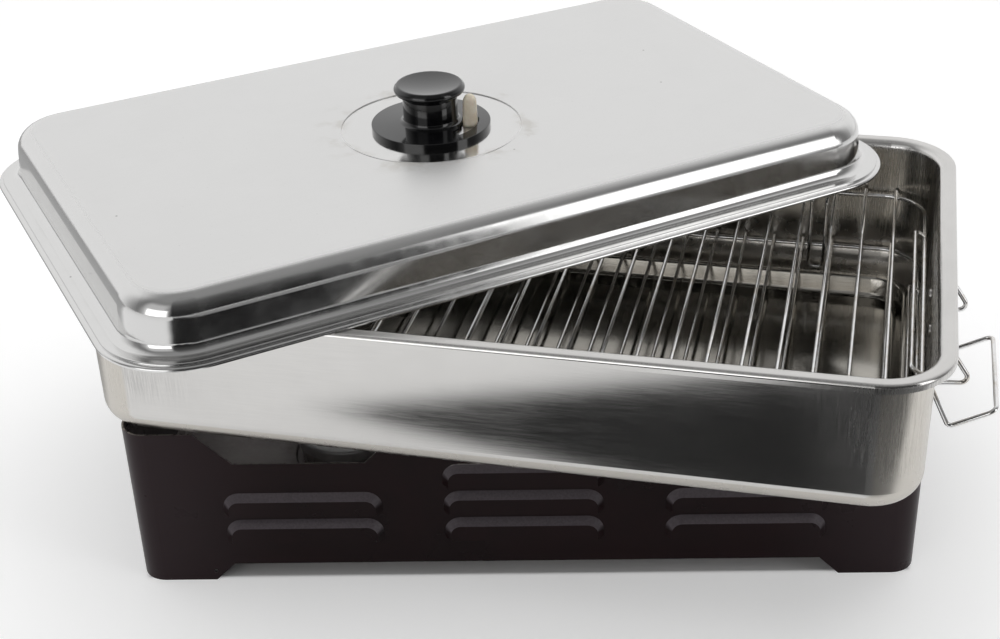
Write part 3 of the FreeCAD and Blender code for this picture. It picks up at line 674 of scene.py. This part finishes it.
def softbox():
    """A large soft lamp above, which lights the object but isn't mirrored in its metal."""
    place, target = Vector((0.0, 0.1, 1.8)), Vector((0.0, 0.0, 0.1))
    data = bpy.data.lights.new("softbox_above", "AREA")
    data.shape = "RECTANGLE"
    data.size = 2.2
    data.size_y = 2.2
    data.energy = LAMP_POWER
    lamp = bpy.data.objects.new("softbox_above", data)
    bpy.context.scene.collection.objects.link(lamp)
    lamp.location = place
    lamp.rotation_euler = (target - place).to_track_quat("-Z", "Y").to_euler()
    lamp.visible_glossy = False


def window(tree, turn, rise, left, right, low, high, soft, soft_top):
    """A soft-edged patch of the surroundings, in degrees."""
    return times(tree, times(tree, ramp(tree, turn, left - soft, left + soft),
                             fall(tree, turn, right - soft, right + soft)),
                 times(tree, ramp(tree, rise, low - soft, low + soft),
                       fall(tree, rise, high - soft_top, high + soft_top)))


def grey(value):
    return (value, value, value)


def shades(tree, value, stops):
    """Maps a value from 0 to 1 through grey stops."""
    node = tree.nodes.new("ShaderNodeValToRGB")
    link(tree, value, node.inputs[0])
    bar = node.color_ramp.elements
    for number, (place, level) in enumerate(stops):
        stop = bar[number] if number < 2 else bar.new(place)
        stop.position = place
        stop.color = (*grey(level), 1.0)
    return node.outputs["Color"]


def studio_world():
    """A white backdrop behind, a bright box each side and an unlit room in front.

    Turns are in degrees from +X toward +Y, and rises in degrees over the horizon.
    """
    world = bpy.data.worlds.new("studio")
    bpy.context.scene.world = world
    world.use_nodes = True
    tree = world.node_tree
    tree.nodes.clear()
    output = tree.nodes.new("ShaderNodeOutputWorld")
    background = tree.nodes.new("ShaderNodeBackground")
    coordinates = tree.nodes.new("ShaderNodeTexCoord")
    x, y, z = split(tree, coordinates.outputs["Generated"])
    turn = times(tree, maths(tree, "ARCTAN2", y, x), 180.0 / math.pi)
    rise = times(tree, maths(tree, "ARCSINE", z), 180.0 / math.pi)
    height = maths(tree, "DIVIDE", rise, 90.0, True)
    # The backdrop is brightest behind, and the ceiling is grey.
    behind = maths(tree, "COSINE", times(tree, maths(tree, "SUBTRACT", turn, 100.0), math.pi / 180.0))
    backdrop = blend(tree, ramp(tree, behind, -0.2, 0.6, 0.22, 0.95), grey(0.0), grey(1.0))
    colour = blend(tree, ramp(tree, rise, 42.0, 74.0), backdrop, grey(0.31))
    # The unlit room in front gets lighter toward the ceiling.
    dark = shades(tree, height, ((0.0, 0.016), (0.22, 0.034), (0.36, 0.055), (0.50, 0.070),
                                 (0.62, 0.125), (0.74, 0.19), (0.84, 0.28)))
    colour = blend(tree, window(tree, turn, rise, -101.0, -34.0, -95.0, 95.0, 4.0, 4.0), colour, dark)
    # The right box leans, so its left edge slants upward.
    leaning = maths(tree, "SUBTRACT", turn, times(tree, rise, rise, 0.0037))
    right_box = times(tree, ramp(tree, leaning, -37.9, -37.1),
                      window(tree, turn, rise, -60.0, -14.5, -12.0, 47.0, 1.0, 5.0))
    colour = blend(tree, right_box, colour, grey(BOX_STRENGTH))
    # A dimmer halo lies round and above the left box.
    halo = window(tree, turn, rise, -150.0, -104.0, -40.0, 50.0, 8.0, 8.0)
    colour = blend(tree, halo, colour, grey(0.62))
    left_box = window(tree, turn, rise, -141.0, -103.0, -40.0, 26.0, 1.5, 1.5)
    colour = blend(tree, left_box, colour, grey(BOX_STRENGTH))
    # The camera itself sees plain white.
    path = tree.nodes.new("ShaderNodeLightPath")
    seen = blend(tree, path.outputs["Is Camera Ray"], colour, grey(1.0))
    link(tree, seen, background.inputs["Color"])
    link(tree, background.outputs[0], output.inputs["Surface"])


def camera():
    data = bpy.data.cameras.new("camera")
    data.lens = CAMERA_LENS
    data.sensor_width = 36.0
    data.clip_end = 100.0
    piece = bpy.data.objects.new("camera", data)
    bpy.context.scene.collection.objects.link(piece)
    piece.location = CAMERA_PLACE
    piece.rotation_euler = [math.radians(angle) for angle in CAMERA_TURN]
    bpy.context.scene.camera = piece


materials = node_materials()
for name, piece in nodes.items():
    piece.data.materials.clear()
    piece.data.materials.append(materials[name])

lever(materials["vent_lever"])
welds("lower_rack_welds", "rack_below", LOWER_RACK, materials["lower_rack_wires"])
welds("upper_rack_welds", "rack_above", UPPER_RACK, materials["upper_rack_wires"])
floor()
dark_cloth()
studio_world()
softbox()
camera()
bpy.context.scene.view_settings.view_transform = "Standard"
